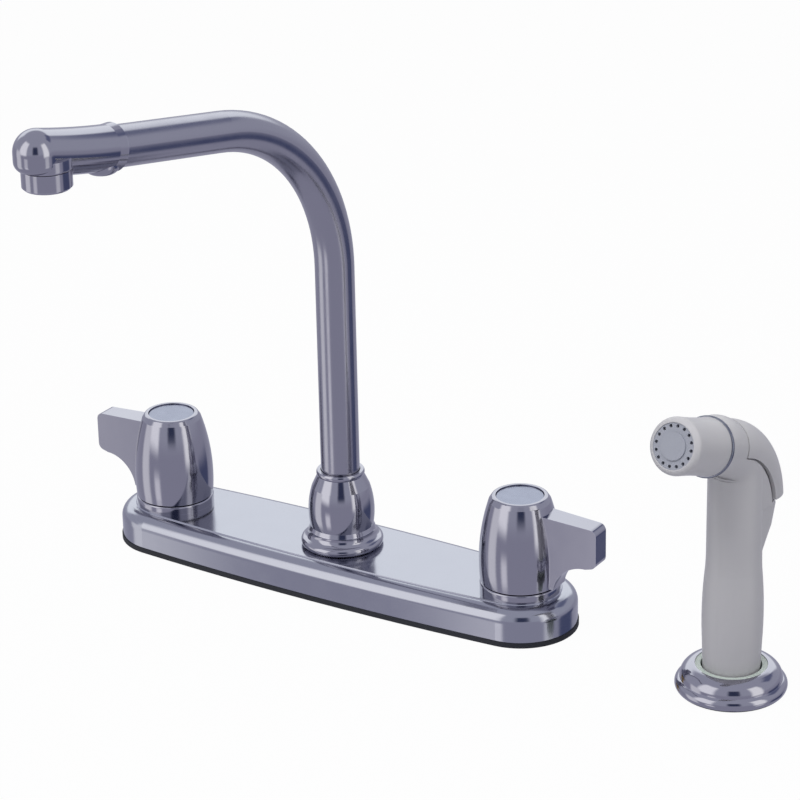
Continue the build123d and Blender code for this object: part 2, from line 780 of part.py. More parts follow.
with BuildPart() as spout_o_rings:
    for index in range(ring_count):
        level = ring_first + index * ring_pitch
        ring(spout_collar_radius, spout_collar_radius - ring_section, level, level + ring_height)
save(spout_o_rings.part, "spout_o_rings")

with BuildPart() as spout_bearing_washer:
    ring(spout_flange_radius, spout_collar_radius + loose_fit, post_top, post_top + bearing_thickness)
save(spout_bearing_washer.part, "spout_bearing_washer")

# ---------------------------------------------------------------- spout head
head_floor = outlet_bottom + aerator_spigot_length + aerator_washer_thickness
lug_reach, lug_height = along_arm(head_start + lug_distance)
lug_centre = spout_plane.from_local_coords(Vector(lug_reach, 0, 0))
lug_bottom = lug_height - lug_drop
tube_under = lug_height - tube_radius / cos(rise)

with BuildPart() as head_nose:
    with BuildSketch(Plane.XY.offset(nose_bottom)):
        with Locations((nose_centre.X, nose_centre.Y)):
            Circle(sleeve_radius)
    extrude(amount=nose_height - nose_bottom)
    fillet(head_nose.edges().group_by(Axis.Z)[0], nose_edge)

with BuildPart() as head_boss:
    with BuildSketch(Plane.XY.offset(outlet_bottom)):
        with Locations((outlet_centre.X, outlet_centre.Y)):
            Circle(outlet_boss_radius)
    extrude(amount=outlet_boss_height)
    fillet(head_boss.edges().group_by(Axis.Z)[0], outlet_boss_edge)

with BuildPart() as head_lug:
    with BuildSketch(Plane.XY.offset(lug_bottom)):
        with Locations((lug_centre.X, lug_centre.Y)):
            Circle(lug_radius)
    extrude(amount=lug_height - lug_bottom)
    fillet(head_lug.edges().group_by(Axis.Z)[0], lug_edge)

with BuildPart() as spout_head:
    with BuildLine(spout_plane):
        TangentArc(along_arm(head_start), (nose_reach, nose_height), tangent=(cos(rise), sin(rise)))
    with BuildSketch(arm_frame(head_start)):
        Circle(sleeve_radius)
    sweep()
    with BuildSketch(arm_frame(head_start)):
        Circle(sleeve_radius + sleeve_flare)
    with BuildSketch(arm_frame(head_start + flare_length)):
        Circle(sleeve_radius - sleeve_flare)
    loft()
    with Locations(spout_plane.from_local_coords(Vector(nose_reach, nose_height, 0))):
        Sphere(sleeve_radius)
    add(head_nose.part)
    add(head_boss.part)
    add(head_lug.part)
    # flat seat around the aerator
    with BuildSketch(Plane.XY.offset(outlet_bottom)):
        with Locations((outlet_centre.X, outlet_centre.Y)):
            Circle(aerator_radius + aerator_room)
    extrude(amount=-aerator_length, mode=Mode.SUBTRACT)
    # socket of the tube, and the waterway on to the outlet
    with BuildSketch(arm_frame(head_start - lug_radius)):
        Circle(tube_radius)
    extrude(amount=lug_radius + tube_in_head, mode=Mode.SUBTRACT)
    with BuildLine(spout_plane):
        TangentArc(along_arm(head_start), (nose_reach, nose_height), tangent=(cos(rise), sin(rise)))
    with BuildSketch(arm_frame(head_start)):
        Circle(head_bore)
    sweep(mode=Mode.SUBTRACT)
    with BuildSketch(Plane.XY.offset(outlet_bottom)):
        with Locations((outlet_centre.X, outlet_centre.Y)):
            Circle(aerator_spigot)
    extrude(amount=head_floor - outlet_bottom, mode=Mode.SUBTRACT)
    with BuildSketch(Plane.XY.offset(head_floor)):
        with Locations((outlet_centre.X, outlet_centre.Y)):
            Circle(outlet_bore)
    extrude(amount=outlet_bore_height, mode=Mode.SUBTRACT)
    with BuildSketch(Plane.XY.offset(lug_bottom)):
        with Locations((lug_centre.X, lug_centre.Y)):
            Circle(set_screw_radius)
    extrude(amount=lug_height - tube_radius - lug_bottom, mode=Mode.SUBTRACT)
save(spout_head.part, "spout_head")

# set screw, its flat end against the tube
with BuildPart() as head_set_screw:
    with BuildSketch(Plane.XY.offset(tube_under - set_screw_length)):
        with Locations((lug_centre.X, lug_centre.Y)):
            Circle(set_screw_radius)
    extrude(amount=set_screw_length - set_screw_relief)
    with BuildSketch(Plane.XY.offset(tube_under - set_screw_length)):
        with Locations((lug_centre.X, lug_centre.Y)):
            RegularPolygon(set_screw_socket / 2, 6, major_radius=False)
    extrude(amount=set_screw_length / 2, mode=Mode.SUBTRACT)
save(head_set_screw.part, "head_set_screw")

# ---------------------------------------------------------------- aerator, about the outlet's axis
aerator_top = outlet_bottom + aerator_spigot_length
aerator_foot = outlet_bottom - aerator_length
at_outlet = Location((outlet_centre.X, outlet_centre.Y, 0))
insert_foot = aerator_foot + aerator_lip
insert_top = insert_foot + insert_height

with BuildPart() as aerator_shell:
    ring(aerator_radius, aerator_spigot - aerator_wall, aerator_foot, outlet_bottom)
    ring(aerator_spigot, aerator_spigot - aerator_wall, outlet_bottom, aerator_top)
    ring(aerator_spigot - aerator_wall, aerator_mouth, aerator_foot, insert_foot)
    chamfer(aerator_shell.edges().group_by(Axis.Z)[0].sort_by(SortBy.RADIUS)[-1], aerator_edge)
save(aerator_shell.part.moved(at_outlet), "aerator_shell")

with BuildPart() as aerator_insert:
    with BuildSketch(Plane.XY.offset(insert_foot)):
        Circle(aerator_spigot - aerator_wall)
        Circle(insert_bore, mode=Mode.SUBTRACT)
        with PolarLocations(insert_hole_circle, insert_hole_count):
            Circle(insert_hole_radius, mode=Mode.SUBTRACT)
    extrude(amount=insert_height)
save(aerator_insert.part.moved(at_outlet), "aerator_insert")

with BuildPart() as aerator_screen:
    with BuildSketch(Plane.XY.offset(insert_top)):
        Circle(aerator_spigot - aerator_wall)
        with GridLocations(screen_pitch, screen_pitch, 4, 4):
            Circle(screen_hole, mode=Mode.SUBTRACT)
    extrude(amount=screen_thickness)
save(aerator_screen.part.moved(at_outlet), "aerator_screen")

with BuildPart() as aerator_washer:
    ring(aerator_spigot, insert_bore, aerator_top, aerator_top + aerator_washer_thickness)
save(aerator_washer.part.moved(at_outlet), "aerator_washer")

# ---------------------------------------------------------------- spray holder, on its own hole in the deck
at_spray = Location((spray_x, spray_y, 0))

with BuildPart() as holder_ring:
    with BuildSketch(Plane.XZ):
        with BuildLine():
            Polyline((holder_bore, holder_step), (holder_bore, 0), (holder_radius - holder_foot_edge, 0))
            ThreePointArc((holder_radius - holder_foot_edge, 0), (holder_radius, holder_widest),
                          (holder_radius - holder_foot_edge, 2 * holder_widest))
            ThreePointArc((holder_radius - holder_foot_edge, 2 * holder_widest),
                          (holder_crown_radius, holder_crown_height), (holder_lip_radius, holder_height))
            Polyline((holder_lip_radius, holder_height), (holder_rim_bore, holder_height),
                     (holder_rim_bore, holder_step), (holder_bore, holder_step))
        make_face()
    revolve(axis=Axis.Z)
save(holder_ring.part.moved(at_spray), "holder_ring")

with BuildPart() as holder_sleeve:
    with BuildSketch(Plane.XZ):
        with BuildLine():
            Polyline((sleeve_mouth, sleeve_rim_top), (sleeve_rim_radius, sleeve_rim_top),
                     (sleeve_rim_radius, holder_step), (sleeve_shank_radius, holder_step),
                     (sleeve_shank_radius, sleeve_shank_bottom), (sleeve_shank_bore, sleeve_shank_bottom),
                     (sleeve_shank_bore, -sleeve_ledge), (sleeve_ledge_bore, -sleeve_ledge),
                     (sleeve_ledge_bore, 0), (sleeve_seat, 0), (sleeve_mouth, sleeve_rim_top))
        make_face()
    revolve(axis=Axis.Z)
save(holder_sleeve.part.moved(at_spray), "holder_sleeve")

with BuildPart() as holder_washer:
    ring(holder_washer_radius, sleeve_shank_radius + thread_fit, nut_under_deck, washer_top)
save(holder_washer.part.moved(at_spray), "holder_washer")

with BuildPart() as holder_nut:
    with BuildSketch(Plane.XY.offset(nut_under_deck - holder_nut_height)):
        Circle(holder_nut_radius)
        with PolarLocations(holder_nut_radius, holder_nut_lobes):
            Circle(holder_nut_lobe_radius)
        Circle(sleeve_shank_radius + thread_fit, mode=Mode.SUBTRACT)
    extrude(amount=holder_nut_height)
save(holder_nut.part.moved(at_spray), "holder_nut")

# ---------------------------------------------------------------- side spray, in the plane of its nozzle
spray_front = Vector(-sin(radians(spray_turn)), -cos(radians(spray_turn)), 0)
spray_side = Vector(spray_front.Y, -spray_front.X, 0)
spray_plane = Plane(origin=(spray_x, spray_y, 0), x_dir=spray_front, z_dir=spray_side)
tilt = radians(nozzle_tilt)


grip_straight = neck_height - grip_straight_drop
grip_top = grip_straight + grip_into_neck
grip_bore_top = neck_height - grip_bore_drop
hump_foot = neck_height - hump_foot_drop
hump_belly = neck_height - hump_belly_drop
hump_height = neck_height - hump_drop
hump_top = neck_height - hump_top_drop
lever_tip = neck_height - lever_tip_drop
lever_front = cuff_start - lever_front_gap
pivot_height = neck_height + pivot_lift
valve_height = neck_height - valve_drop


def on_nozzle(distance, lift=0.0):
    """A point of the spray's plane: distance along the nozzle axis, lift square to it."""
    return (distance * cos(tilt) - lift * sin(tilt), neck_height + distance * sin(tilt) + lift * cos(tilt))


def nozzle_frame(distance):
    """A plane across the nozzle, its normal pointing to the spray face."""
    return Plane(origin=spray_plane.from_local_coords(Vector(*on_nozzle(distance), 0)),
                 x_dir=spray_side,
                 z_dir=spray_plane.from_local_coords(Vector(cos(tilt), sin(tilt), 0))
                 - spray_plane.from_local_coords(Vector(0, 0, 0)))


def spray_level(height):
    """A level plane of the spray, its X axis to the front."""
    return Plane(origin=(spray_x, spray_y, height), x_dir=spray_front, z_dir=(0, 0, 1))


def valve_frame_at(reach):
    """A plane across the valve's axis, its normal pointing to the back."""
    return Plane(origin=spray_plane.from_local_coords(Vector(reach, valve_height, 0)),
                 x_dir=spray_side, z_dir=-spray_front)


def disc(frame, radius, bore, length, mode=Mode.ADD):
    """A round or ring shaped piece on a given plane."""
    with BuildSketch(frame) as section:
        Circle(radius)
        if bore:
            Circle(bore, mode=Mode.SUBTRACT)
    extrude(section.sketch, amount=length, mode=mode)


nozzle_axis = Axis(origin=nozzle_frame(0).origin, direction=nozzle_frame(0).z_dir)

# centre line of the thumb lever's shell: straight behind the ring, then a bend down the back
lever_centre_reach = lever_path_radius - lever_path_back
lever_centre_drop = (lever_path_radius - lever_centre_reach * sin(tilt)) / cos(tilt)
lever_path_height = neck_height - lever_centre_drop
lever_centre = (lever_centre_reach, lever_path_height)
shell_front = on_nozzle(neck_length)
shell_bend = on_nozzle(lever_centre_reach * cos(tilt) - lever_centre_drop * sin(tilt))
shell_middle = (lever_centre[0] + lever_path_radius * cos(radians(145)),
                lever_centre[1] + lever_path_radius * sin(radians(145)))
shell_foot = (-lever_path_back, lever_path_height)
shell_inside = lever_path_radius + lever_inner
plunger_back = (lever_centre[0] - sqrt(shell_inside ** 2 - max(valve_height - lever_path_height, 0) ** 2)
                + plunger_proud)


def side_edge(edge, front, tip, swing_room=0.0):
    """A side edge at that distance from the bend's centre: its start, the bend's start, middle and end."""
    bend = (lever_centre[0] + edge * cos(radians(90) + tilt), lever_centre[1] + edge * sin(radians(90) + tilt))
    middle = edge - lever_swing_share * swing_room
    turn_mid = (lever_centre[0] + middle * cos(radians(145)), lever_centre[1] + middle * sin(radians(145)))
    low = (lever_centre[0] - sqrt((edge - swing_room) ** 2 - (tip - lever_centre[1]) ** 2), tip)
    return on_nozzle(front, edge - lever_path_radius), bend, turn_mid, low


def lever_shell(outer, inner, edge, front, tip, swing_room=0.0):
    """Curved shell about that centre line, kept outside the given edge and behind the given front."""
    with BuildPart() as shell:
        with BuildLine(spray_plane):
            Line(shell_front, shell_bend)
            ThreePointArc(shell_bend, shell_middle, shell_foot)
        with BuildSketch(nozzle_frame(neck_length)):
            Circle(outer)
            Circle(inner, mode=Mode.SUBTRACT)
        sweep()
        far = 3 * lever_path_radius
        start, bend, turn_mid, low = side_edge(edge, front, tip, swing_room)
        with BuildSketch(spray_plane):
            with BuildLine():
                Line(start, bend)
                ThreePointArc(bend, turn_mid, low)
                Polyline(low, (-far, tip), (-far, far + tip), on_nozzle(front, far), start)
            make_face()
        extrude(amount=far, both=True, mode=Mode.INTERSECT)
    return shell.part


with BuildPart() as spray_body:
    # grip, turned about its own axis
    with BuildSketch(spray_plane):
        with BuildLine():
            Polyline((0, grip_top), (0, coupling_top), (grip_foot_radius, coupling_top))
            ThreePointArc((grip_foot_radius, coupling_top), (grip_low_radius, grip_low_height),
                          (grip_mid_radius, grip_mid_height))
            Spline((grip_mid_radius, grip_mid_height), (grip_radius, grip_straight),
                   tangents=((-0.06, 1), (0, 1)))
            Polyline((grip_radius, grip_straight), (grip_radius, grip_top), (0, grip_top))
        make_face()
    revolve(axis=Axis(origin=(spray_x, spray_y, 0), direction=(0, 0, 1)))
    # bent head, one tube from the grip to the cuff
    bend_length = neck_bend * tan((pi / 2 - tilt) / 2)
    bend_start_height = neck_height - bend_length
    disc(spray_level(grip_straight), grip_radius, 0, bend_start_height - grip_straight)
    with BuildSketch(spray_level(bend_start_height)) as neck_section:
        Circle(grip_radius)
    revolve(neck_section.sketch, revolution_arc=90 - nozzle_tilt,
            axis=Axis(origin=spray_plane.from_local_coords(Vector(neck_bend, bend_start_height, 0)),
                      direction=-spray_side))
    disc(nozzle_frame(bend_length), grip_radius, 0, neck_end - bend_length)
    # cuff behind the trim ring, and the spigot in front of it
    with BuildSketch(nozzle_frame(cuff_start)):
        Circle(cuff_back_radius)
    with BuildSketch(nozzle_frame(neck_length)):
        Circle(cuff_front_radius)
    loft()
    # hump that the thumb rests on, below the lever
    hump_levels = ((hump_foot, hump_end_reach), (hump_belly, hump_belly_reach),
                   (hump_height, hump_reach), (hump_top, hump_end_reach))
    for lower, upper in zip(hump_levels, hump_levels[1:]):
        for level, reach in (lower, upper):
            with BuildSketch(spray_level(level)):
                Circle(grip_radius - hump_inset)
                with Locations((-reach, 0)):
                    Circle(hump_radius)
                make_hull()
        loft(ruled=True)
    # flat cheeks up to the lever's side edges, and a narrower core inside its shell
    cheek_edge = lever_edge - lever_edge_gap
    for back_edge, half_width in ((cheek_edge, cheek_half_width), (cheek_edge + core_depth, core_half_width)):
        start, bend, turn_mid, low = side_edge(back_edge, cuff_start, lever_tip - lever_tip_room, lever_swing_room)
        far = 3 * lever_path_radius
        with BuildSketch(spray_plane):
            with BuildLine():
                Line((0, low[1]), (0, bend_start_height))
                TangentArc((0, bend_start_height), on_nozzle(bend_length), tangent=(0, 1))
                Polyline(on_nozzle(bend_length), on_nozzle(bend_length, far), (-far, far + low[1]),
                         (-far, low[1]), (0, low[1]))
            make_face()
            with BuildLine():
                Line(start, bend)
                ThreePointArc(bend, turn_mid, low)
                Polyline(low, (far, low[1]), start)
            make_face(mode=Mode.INTERSECT)
        extrude(amount=half_width, both=True)
    # room for the lever's shell
    add(lever_shell(lever_outer + lever_clear_of, lever_inner - lever_gap, lever_edge - lever_edge_gap,
                    cuff_start, lever_tip - lever_tip_room, lever_swing_room), mode=Mode.SUBTRACT)
    # threaded spigots for the nozzle and for the coupling nut
    disc(nozzle_frame(neck_length), spigot_size, 0, spigot_reach)
    disc(spray_level(thread_bottom), coupling_thread, 0, coupling_top - thread_bottom)
    # waterway: hollow grip, valve chamber, then out along the nozzle
    disc(spray_level(thread_bottom), grip_bore, 0, grip_bore_top - thread_bottom, Mode.SUBTRACT)
    disc(spray_level(grip_bore_top), inlet_way, 0, valve_height - grip_bore_top, Mode.SUBTRACT)
    disc(nozzle_frame(0), spray_way, 0, neck_length + spigot_reach, Mode.SUBTRACT)
    disc(spray_level(valve_height), inlet_way, 0, neck_height - valve_height, Mode.SUBTRACT)
    disc(valve_frame_at(valve_chamber_front), valve_chamber, 0, valve_chamber_front - 2 * guide_back,
         Mode.SUBTRACT)
    with BuildSketch(spray_plane):
        with Locations((pivot_reach, pivot_height)):
            Circle(pin_radius)
    extrude(amount=2 * pin_half_length, both=True, mode=Mode.SUBTRACT)
save(spray_body.part, "spray_body")

# ---------------------------------------------------------------- spray head pieces, along the nozzle
with BuildPart() as trim_ring:
    disc(nozzle_frame(neck_length), trim_ring_radius, spigot_size + thread_fit, trim_ring_width)
    round_edges = trim_ring.edges().filter_by(GeomType.CIRCLE)
    fillet(round_edges.filter_by(lambda edge: edge.radius > trim_ring_radius - trim_ring_edge),
           trim_ring_edge)
save(trim_ring.part, "trim_ring")

nozzle_back = neck_length + trim_ring_width
nozzle_end = nozzle_back + nozzle_length
face_back = nozzle_end - face_set_back - face_thickness
with BuildPart() as spray_nozzle:
    with BuildSketch(spray_plane):
        with BuildLine():
            Line(on_nozzle(nozzle_back), on_nozzle(nozzle_back, nozzle_root_radius))
            Spline(on_nozzle(nozzle_back, nozzle_root_radius),
                   on_nozzle(nozzle_back + nozzle_waist, nozzle_waist_radius),
                   on_nozzle(nozzle_end - nozzle_edge, nozzle_front_radius))
            RadiusArc(on_nozzle(nozzle_end - nozzle_edge, nozzle_front_radius),
                      on_nozzle(nozzle_end, nozzle_front_radius - nozzle_edge + nozzle_lip), nozzle_edge)
            Line(on_nozzle(nozzle_end, nozzle_front_radius - nozzle_edge + nozzle_lip), on_nozzle(nozzle_end))
            Line(on_nozzle(nozzle_end), on_nozzle(nozzle_back))
        make_face()
    revolve(axis=nozzle_axis)
    disc(nozzle_frame(nozzle_back), spigot_size + thread_fit, 0,
         spigot_reach - trim_ring_width + loose_fit, Mode.SUBTRACT)
    disc(nozzle_frame(nozzle_back), nozzle_way, 0, nozzle_length - face_thickness, Mode.SUBTRACT)
    disc(nozzle_frame(face_back), face_radius, 0, 2 * face_thickness, Mode.SUBTRACT)
save(spray_nozzle.part, "spray_nozzle")

with BuildPart() as spray_face:
    disc(nozzle_frame(face_back), face_radius, 0, face_thickness)
    disc(nozzle_frame(face_back + face_thickness), face_boss_radius, 0, face_boss_height)
    with BuildSketch(nozzle_frame(face_back)):
        with PolarLocations(face_hole_circle, face_hole_count):
            Circle(face_hole_radius)
    extrude(amount=face_thickness, mode=Mode.SUBTRACT)
save(spray_face.part, "spray_face")

# ---------------------------------------------------------------- hose connection under the grip
washer_foot = coupling_shoulder + hose_flange_thickness
with BuildPart() as spray_coupling_nut:
    with BuildSketch(spray_plane):
        Polygon((0, 0), (coupling_foot_radius, 0), (coupling_top_radius, coupling_top),
                (0, coupling_top), align=None)
    revolve(axis=Axis(origin=(spray_x, spray_y, 0), direction=(0, 0, 1)))
    disc(spray_level(coupling_shoulder), coupling_thread + thread_fit, 0, coupling_top, Mode.SUBTRACT)
    disc(spray_level(0), hose_hole, 0, coupling_shoulder, Mode.SUBTRACT)
    fillet(spray_coupling_nut.edges().group_by(Axis.Z)[0].sort_by(SortBy.RADIUS)[-1], coupling_edge)
save(spray_coupling_nut.part, "spray_coupling_nut")

with BuildPart() as hose_nipple:
    disc(spray_level(hose_nipple_bottom), hose_nipple_radius, inlet_way, -hose_nipple_bottom)
    disc(spray_level(0), hose_neck_radius, inlet_way, coupling_shoulder)
    disc(spray_level(coupling_shoulder), hose_flange, inlet_way, hose_flange_thickness)
save(hose_nipple.part, "hose_nipple")

with BuildPart() as hose_washer:
    disc(spray_level(washer_foot), hose_flange, inlet_way, thread_bottom - washer_foot)
save(hose_washer.part, "hose_washer")

# ---------------------------------------------------------------- thumb lever and its pin
with BuildPart() as thumb_lever:
    add(lever_shell(lever_outer, lever_inner, lever_edge, lever_front, lever_tip))
    # boss inside the shell that presses the plunger
    disc(valve_frame_at(plunger_back - seat_gap), pusher_radius, 0, pusher_depth)
    with BuildSketch(spray_plane):
        with Locations((pivot_reach, pivot_height)):
            Circle(pin_radius + running_fit)
    extrude(amount=pin_half_length + loose_fit, both=True, mode=Mode.SUBTRACT)
save(thumb_lever.part, "thumb_lever")

with BuildPart() as lever_pin:
    with BuildSketch(spray_plane):
        with Locations((pivot_reach, pivot_height)):
            Circle(pin_radius)
    extrude(amount=pin_half_length, both=True)
save(lever_pin.part, "lever_pin")


# ---------------------------------------------------------------- spray valve, level and square to the pin

with BuildPart() as valve_guide:
    disc(valve_frame_at(guide_front), valve_chamber, plunger_radius + running_fit, guide_front - guide_back)
save(valve_guide.part, "valve_guide")

with BuildPart() as spray_plunger:
    disc(valve_frame_at(plunger_front), plunger_radius, 0, plunger_front - plunger_back)
    disc(valve_frame_at(plunger_head_front), plunger_head_radius, 0, plunger_head_front - plunger_head_back)
save(spray_plunger.part, "spray_plunger")

with BuildPart() as plunger_seal:
    disc(valve_frame_at(plunger_head_front + spray_seal_width), plunger_head_radius, plunger_radius,
         spray_seal_width)
save(plunger_seal.part, "plunger_seal")

# it rides with the plunger, and its front end stands back by the plunger's travel
spring_back = plunger_head_front + spray_seal_width
spring_front = valve_chamber_front - plunger_travel
with BuildPart() as valve_spring:
    disc(valve_frame_at(spring_front), valve_chamber - running_fit,
         valve_chamber - running_fit - valve_spring_wire, spring_front - spring_back)
save(valve_spring.part, "valve_spring")
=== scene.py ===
import json
import math

import bpy
from mathutils import Matrix, Vector

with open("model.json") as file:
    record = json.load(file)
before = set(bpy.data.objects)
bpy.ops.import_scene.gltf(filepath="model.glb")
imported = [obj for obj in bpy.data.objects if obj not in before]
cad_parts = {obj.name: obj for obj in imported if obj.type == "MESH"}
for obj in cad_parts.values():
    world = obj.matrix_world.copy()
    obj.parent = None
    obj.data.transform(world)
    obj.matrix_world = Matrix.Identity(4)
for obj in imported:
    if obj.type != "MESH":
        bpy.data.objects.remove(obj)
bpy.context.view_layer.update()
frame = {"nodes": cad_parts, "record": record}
nodes = frame["nodes"]


# ------------------------------------------------------------------ small helpers
def linear(hex_colour, strength=1.0):
    """An sRGB hex colour as linear RGBA."""
    channels = [int(hex_colour[i:i + 2], 16) / 255 for i in (1, 3, 5)]
    straight = [c / 12.92 if c <= 0.04045 else ((c + 0.055) / 1.055) ** 2.4 for c in channels]
    return (*[c * strength for c in straight], 1.0)


def towards(azimuth, elevation=0.0):
    """Unit direction away from the faucet; azimuth in degrees from straight in front to the right."""
    turn, rise = math.radians(azimuth), math.radians(elevation)
    return Vector((math.sin(turn) * math.cos(rise), -math.cos(turn) * math.cos(rise), math.sin(rise)))


def sine(degrees):
    """Sine of an angle in degrees, which is the height of a direction at that elevation."""
    return math.sin(math.radians(degrees))


def cosine(degrees):
    """Cosine of an angle in degrees, which is how far two directions agree."""
    return math.cos(math.radians(degrees))


def add(tree, kind, inputs=None, links=None, **settings):
    """Adds one node with its settings, its input values and its links."""
    made = tree.nodes.new("ShaderNode" + kind)
    for name, value in settings.items():
        setattr(made, name, value)
    for socket, value in (inputs or {}).items():
        made.inputs[socket].default_value = value
    for socket, source in (links or {}).items():
        tree.links.new(source, made.inputs[socket])
    return made


def new_material(name):
    """An empty material and its tree."""
    material = bpy.data.materials.new(name)
    material.use_nodes = True
    material.node_tree.nodes.clear()
    return material, material.node_tree


# ------------------------------------------------------------------ camera, at the photograph's angle
CAMERA_AZIMUTH = 32.42  # degrees towards the right handle, from straight in front
CAMERA_ELEVATION = 22.78
CAMERA_ROLL = math.radians(-1.19)
CAMERA_DEPTH = 1.5655  # metres from the camera to the level of the frame's origin
FOCAL_PIXELS = 3146.17
IMAGE_PIXELS = 800
ORIGIN_PIXEL = (343.53, 575.92)  # where the frame's origin falls in the picture
SENSOR_WIDTH = 36.0


def place_camera():
    """Camera that puts the frame's origin on its pixel and looks along the photograph's direction."""
    back = towards(CAMERA_AZIMUTH, CAMERA_ELEVATION)
    level_right = towards(CAMERA_AZIMUTH + 90)
    level_up = back.cross(level_right)
    right = level_right * math.cos(CAMERA_ROLL) + level_up * math.sin(CAMERA_ROLL)
    up = level_up * math.cos(CAMERA_ROLL) - level_right * math.sin(CAMERA_ROLL)
    across = (ORIGIN_PIXEL[0] - IMAGE_PIXELS / 2) / FOCAL_PIXELS
    down = (ORIGIN_PIXEL[1] - IMAGE_PIXELS / 2) / FOCAL_PIXELS
    data = bpy.data.cameras.new("photo_camera")
    data.sensor_width = SENSOR_WIDTH
    data.lens = FOCAL_PIXELS / IMAGE_PIXELS * SENSOR_WIDTH
    camera = bpy.data.objects.new("photo_camera", data)
    bpy.context.scene.collection.objects.link(camera)
    turned = Matrix((right, up, back)).transposed().to_4x4()
    turned.translation = -CAMERA_DEPTH * (-back + across * right - down * up)
    camera.matrix_world = turned
    bpy.context.scene.camera = camera


place_camera()

# ------------------------------------------------------------------ studio
# What the metal mirrors, besides a pale floor and sky: azimuth, half width, lowest and highest
# elevation in degrees, colour and strength. A later panel covers an earlier one.
STUDIO_PANELS = (
    (-30, 19, -4, 52, "#fbfbfa", 1.55),  # soft box left of the camera
    (-16, 7, -34, -17, "#f4f3f6", 1.3),  # its light on the floor
    (-56, 13, -34, 6, "#f2f2f4", 1.25),  # white card far left
    (86, 13, -12, 48, "#fafaf6", 1.6),  # soft box right of the camera
    (88, 8, -34, -15, "#f0f0f4", 1.1),  # its light on the floor
    (33, 12, 3, 40, "#434a66", 1.0),  # dark room behind the camera
    (134, 20, -34, -14, "#5c6384", 1.0),  # dark wall far right
    (154, 20, 32, 50, "#7c82a0", 1.0),  # dark beam over that wall
    (218, 42, 13, 38, "#f6fafb", 1.5),  # overhead box, behind the faucet
)
PANEL_SOFT = 5.0  # degrees over which a panel's edge fades, to either side
HORIZON_SOFT = 0.12
FLOOR_TONE = linear("#b4b4c5")
SKY_TONE = linear("#c6c8d6")
FILL_LEVEL = 0.38  # even light on what isn't a mirror
FILL_BLUER = 1.03
WHITE = (1, 1, 1, 1)

FLOOR_RADIUS = 6.0
FLOOR_SIDES = 96
FLOOR_DROP = 0.0002  # the floor lies this far under the gasket, so that the two don't flicker
FLOOR_PAPER = linear("#cfcfd4")
FLOOR_WHITE_SHARE = 0.97  # seen as plain white by the camera; the rest keeps the shadow

LAMP_AIM = Vector((0.05, -0.05, 0.12))


def eased(tree, value, start, end):
    """0 up to start and 1 from end on, eased between them."""
    step = add(tree, "MapRange", interpolation_type="SMOOTHSTEP",
               inputs={"From Min": start, "From Max": end}, links={"Value": value})
    return step.outputs[0]


def times(tree, first, second):
    """The product of two values."""
    return add(tree, "Math", operation="MULTIPLY", links={0: first, 1: second}).outputs[0]


def blend(tree, share, first, second):
    """Goes from the first colour to the second by a share; each is a plain colour or a link."""
    mix = add(tree, "Mix", data_type="RGBA", links={0: share})
    for socket, colour in ((6, first), (7, second)):
        if isinstance(colour, bpy.types.NodeSocket):
            tree.links.new(colour, mix.inputs[socket])
        else:
            mix.inputs[socket].default_value = colour
    return mix.outputs[2]


def panel_share(tree, heading, height, azimuth, half, low, high):
    """1 inside a panel of the studio, 0 outside it, with soft edges."""
    facing = add(tree, "VectorMath", operation="DOT_PRODUCT", inputs={1: towards(azimuth)}, links={0: heading})
    across = eased(tree, facing.outputs["Value"],
                   cosine(half + PANEL_SOFT), cosine(max(half - PANEL_SOFT, 0)))
    over_foot = eased(tree, height, sine(low - PANEL_SOFT), sine(low + PANEL_SOFT))
    under_top = eased(tree, height, sine(high + PANEL_SOFT), sine(high - PANEL_SOFT))
    return times(tree, across, times(tree, over_foot, under_top))


def build_world():
    """White for the camera; pale with soft boxes for metal; an even fill for all else."""
    world = bpy.data.worlds.new("studio")
    world.use_nodes = True
    tree = world.node_tree
    tree.nodes.clear()
    direction = add(tree, "TexCoord").outputs["Generated"]
    height = add(tree, "SeparateXYZ", links={0: direction}).outputs["Z"]
    level = add(tree, "VectorMath", operation="MULTIPLY", inputs={1: (1, 1, 0)}, links={0: direction})
    heading = add(tree, "VectorMath", operation="NORMALIZE", links={0: level.outputs[0]}).outputs[0]
    above = eased(tree, height, -HORIZON_SOFT, HORIZON_SOFT)
    seen = blend(tree, above, FLOOR_TONE, SKY_TONE)
    for azimuth, half, low, high, colour, strength in STUDIO_PANELS:
        share = panel_share(tree, heading, height, azimuth, half, low, high)
        seen = blend(tree, share, seen, linear(colour, strength))
    path = add(tree, "LightPath")
    mirrored = add(tree, "Math", operation="MAXIMUM",
                   links={0: path.outputs["Is Glossy Ray"], 1: path.outputs["Is Transmission Ray"]})
    fill = (FILL_LEVEL, FILL_LEVEL, FILL_LEVEL * FILL_BLUER, 1)
    lit = blend(tree, mirrored.outputs[0], fill, seen)
    shown = blend(tree, path.outputs["Is Camera Ray"], lit, WHITE)
    light = add(tree, "Background", inputs={"Strength": 1.0}, links={"Color": shown})
    add(tree, "OutputWorld", links={"Surface": light.outputs[0]})
    bpy.context.scene.world = world


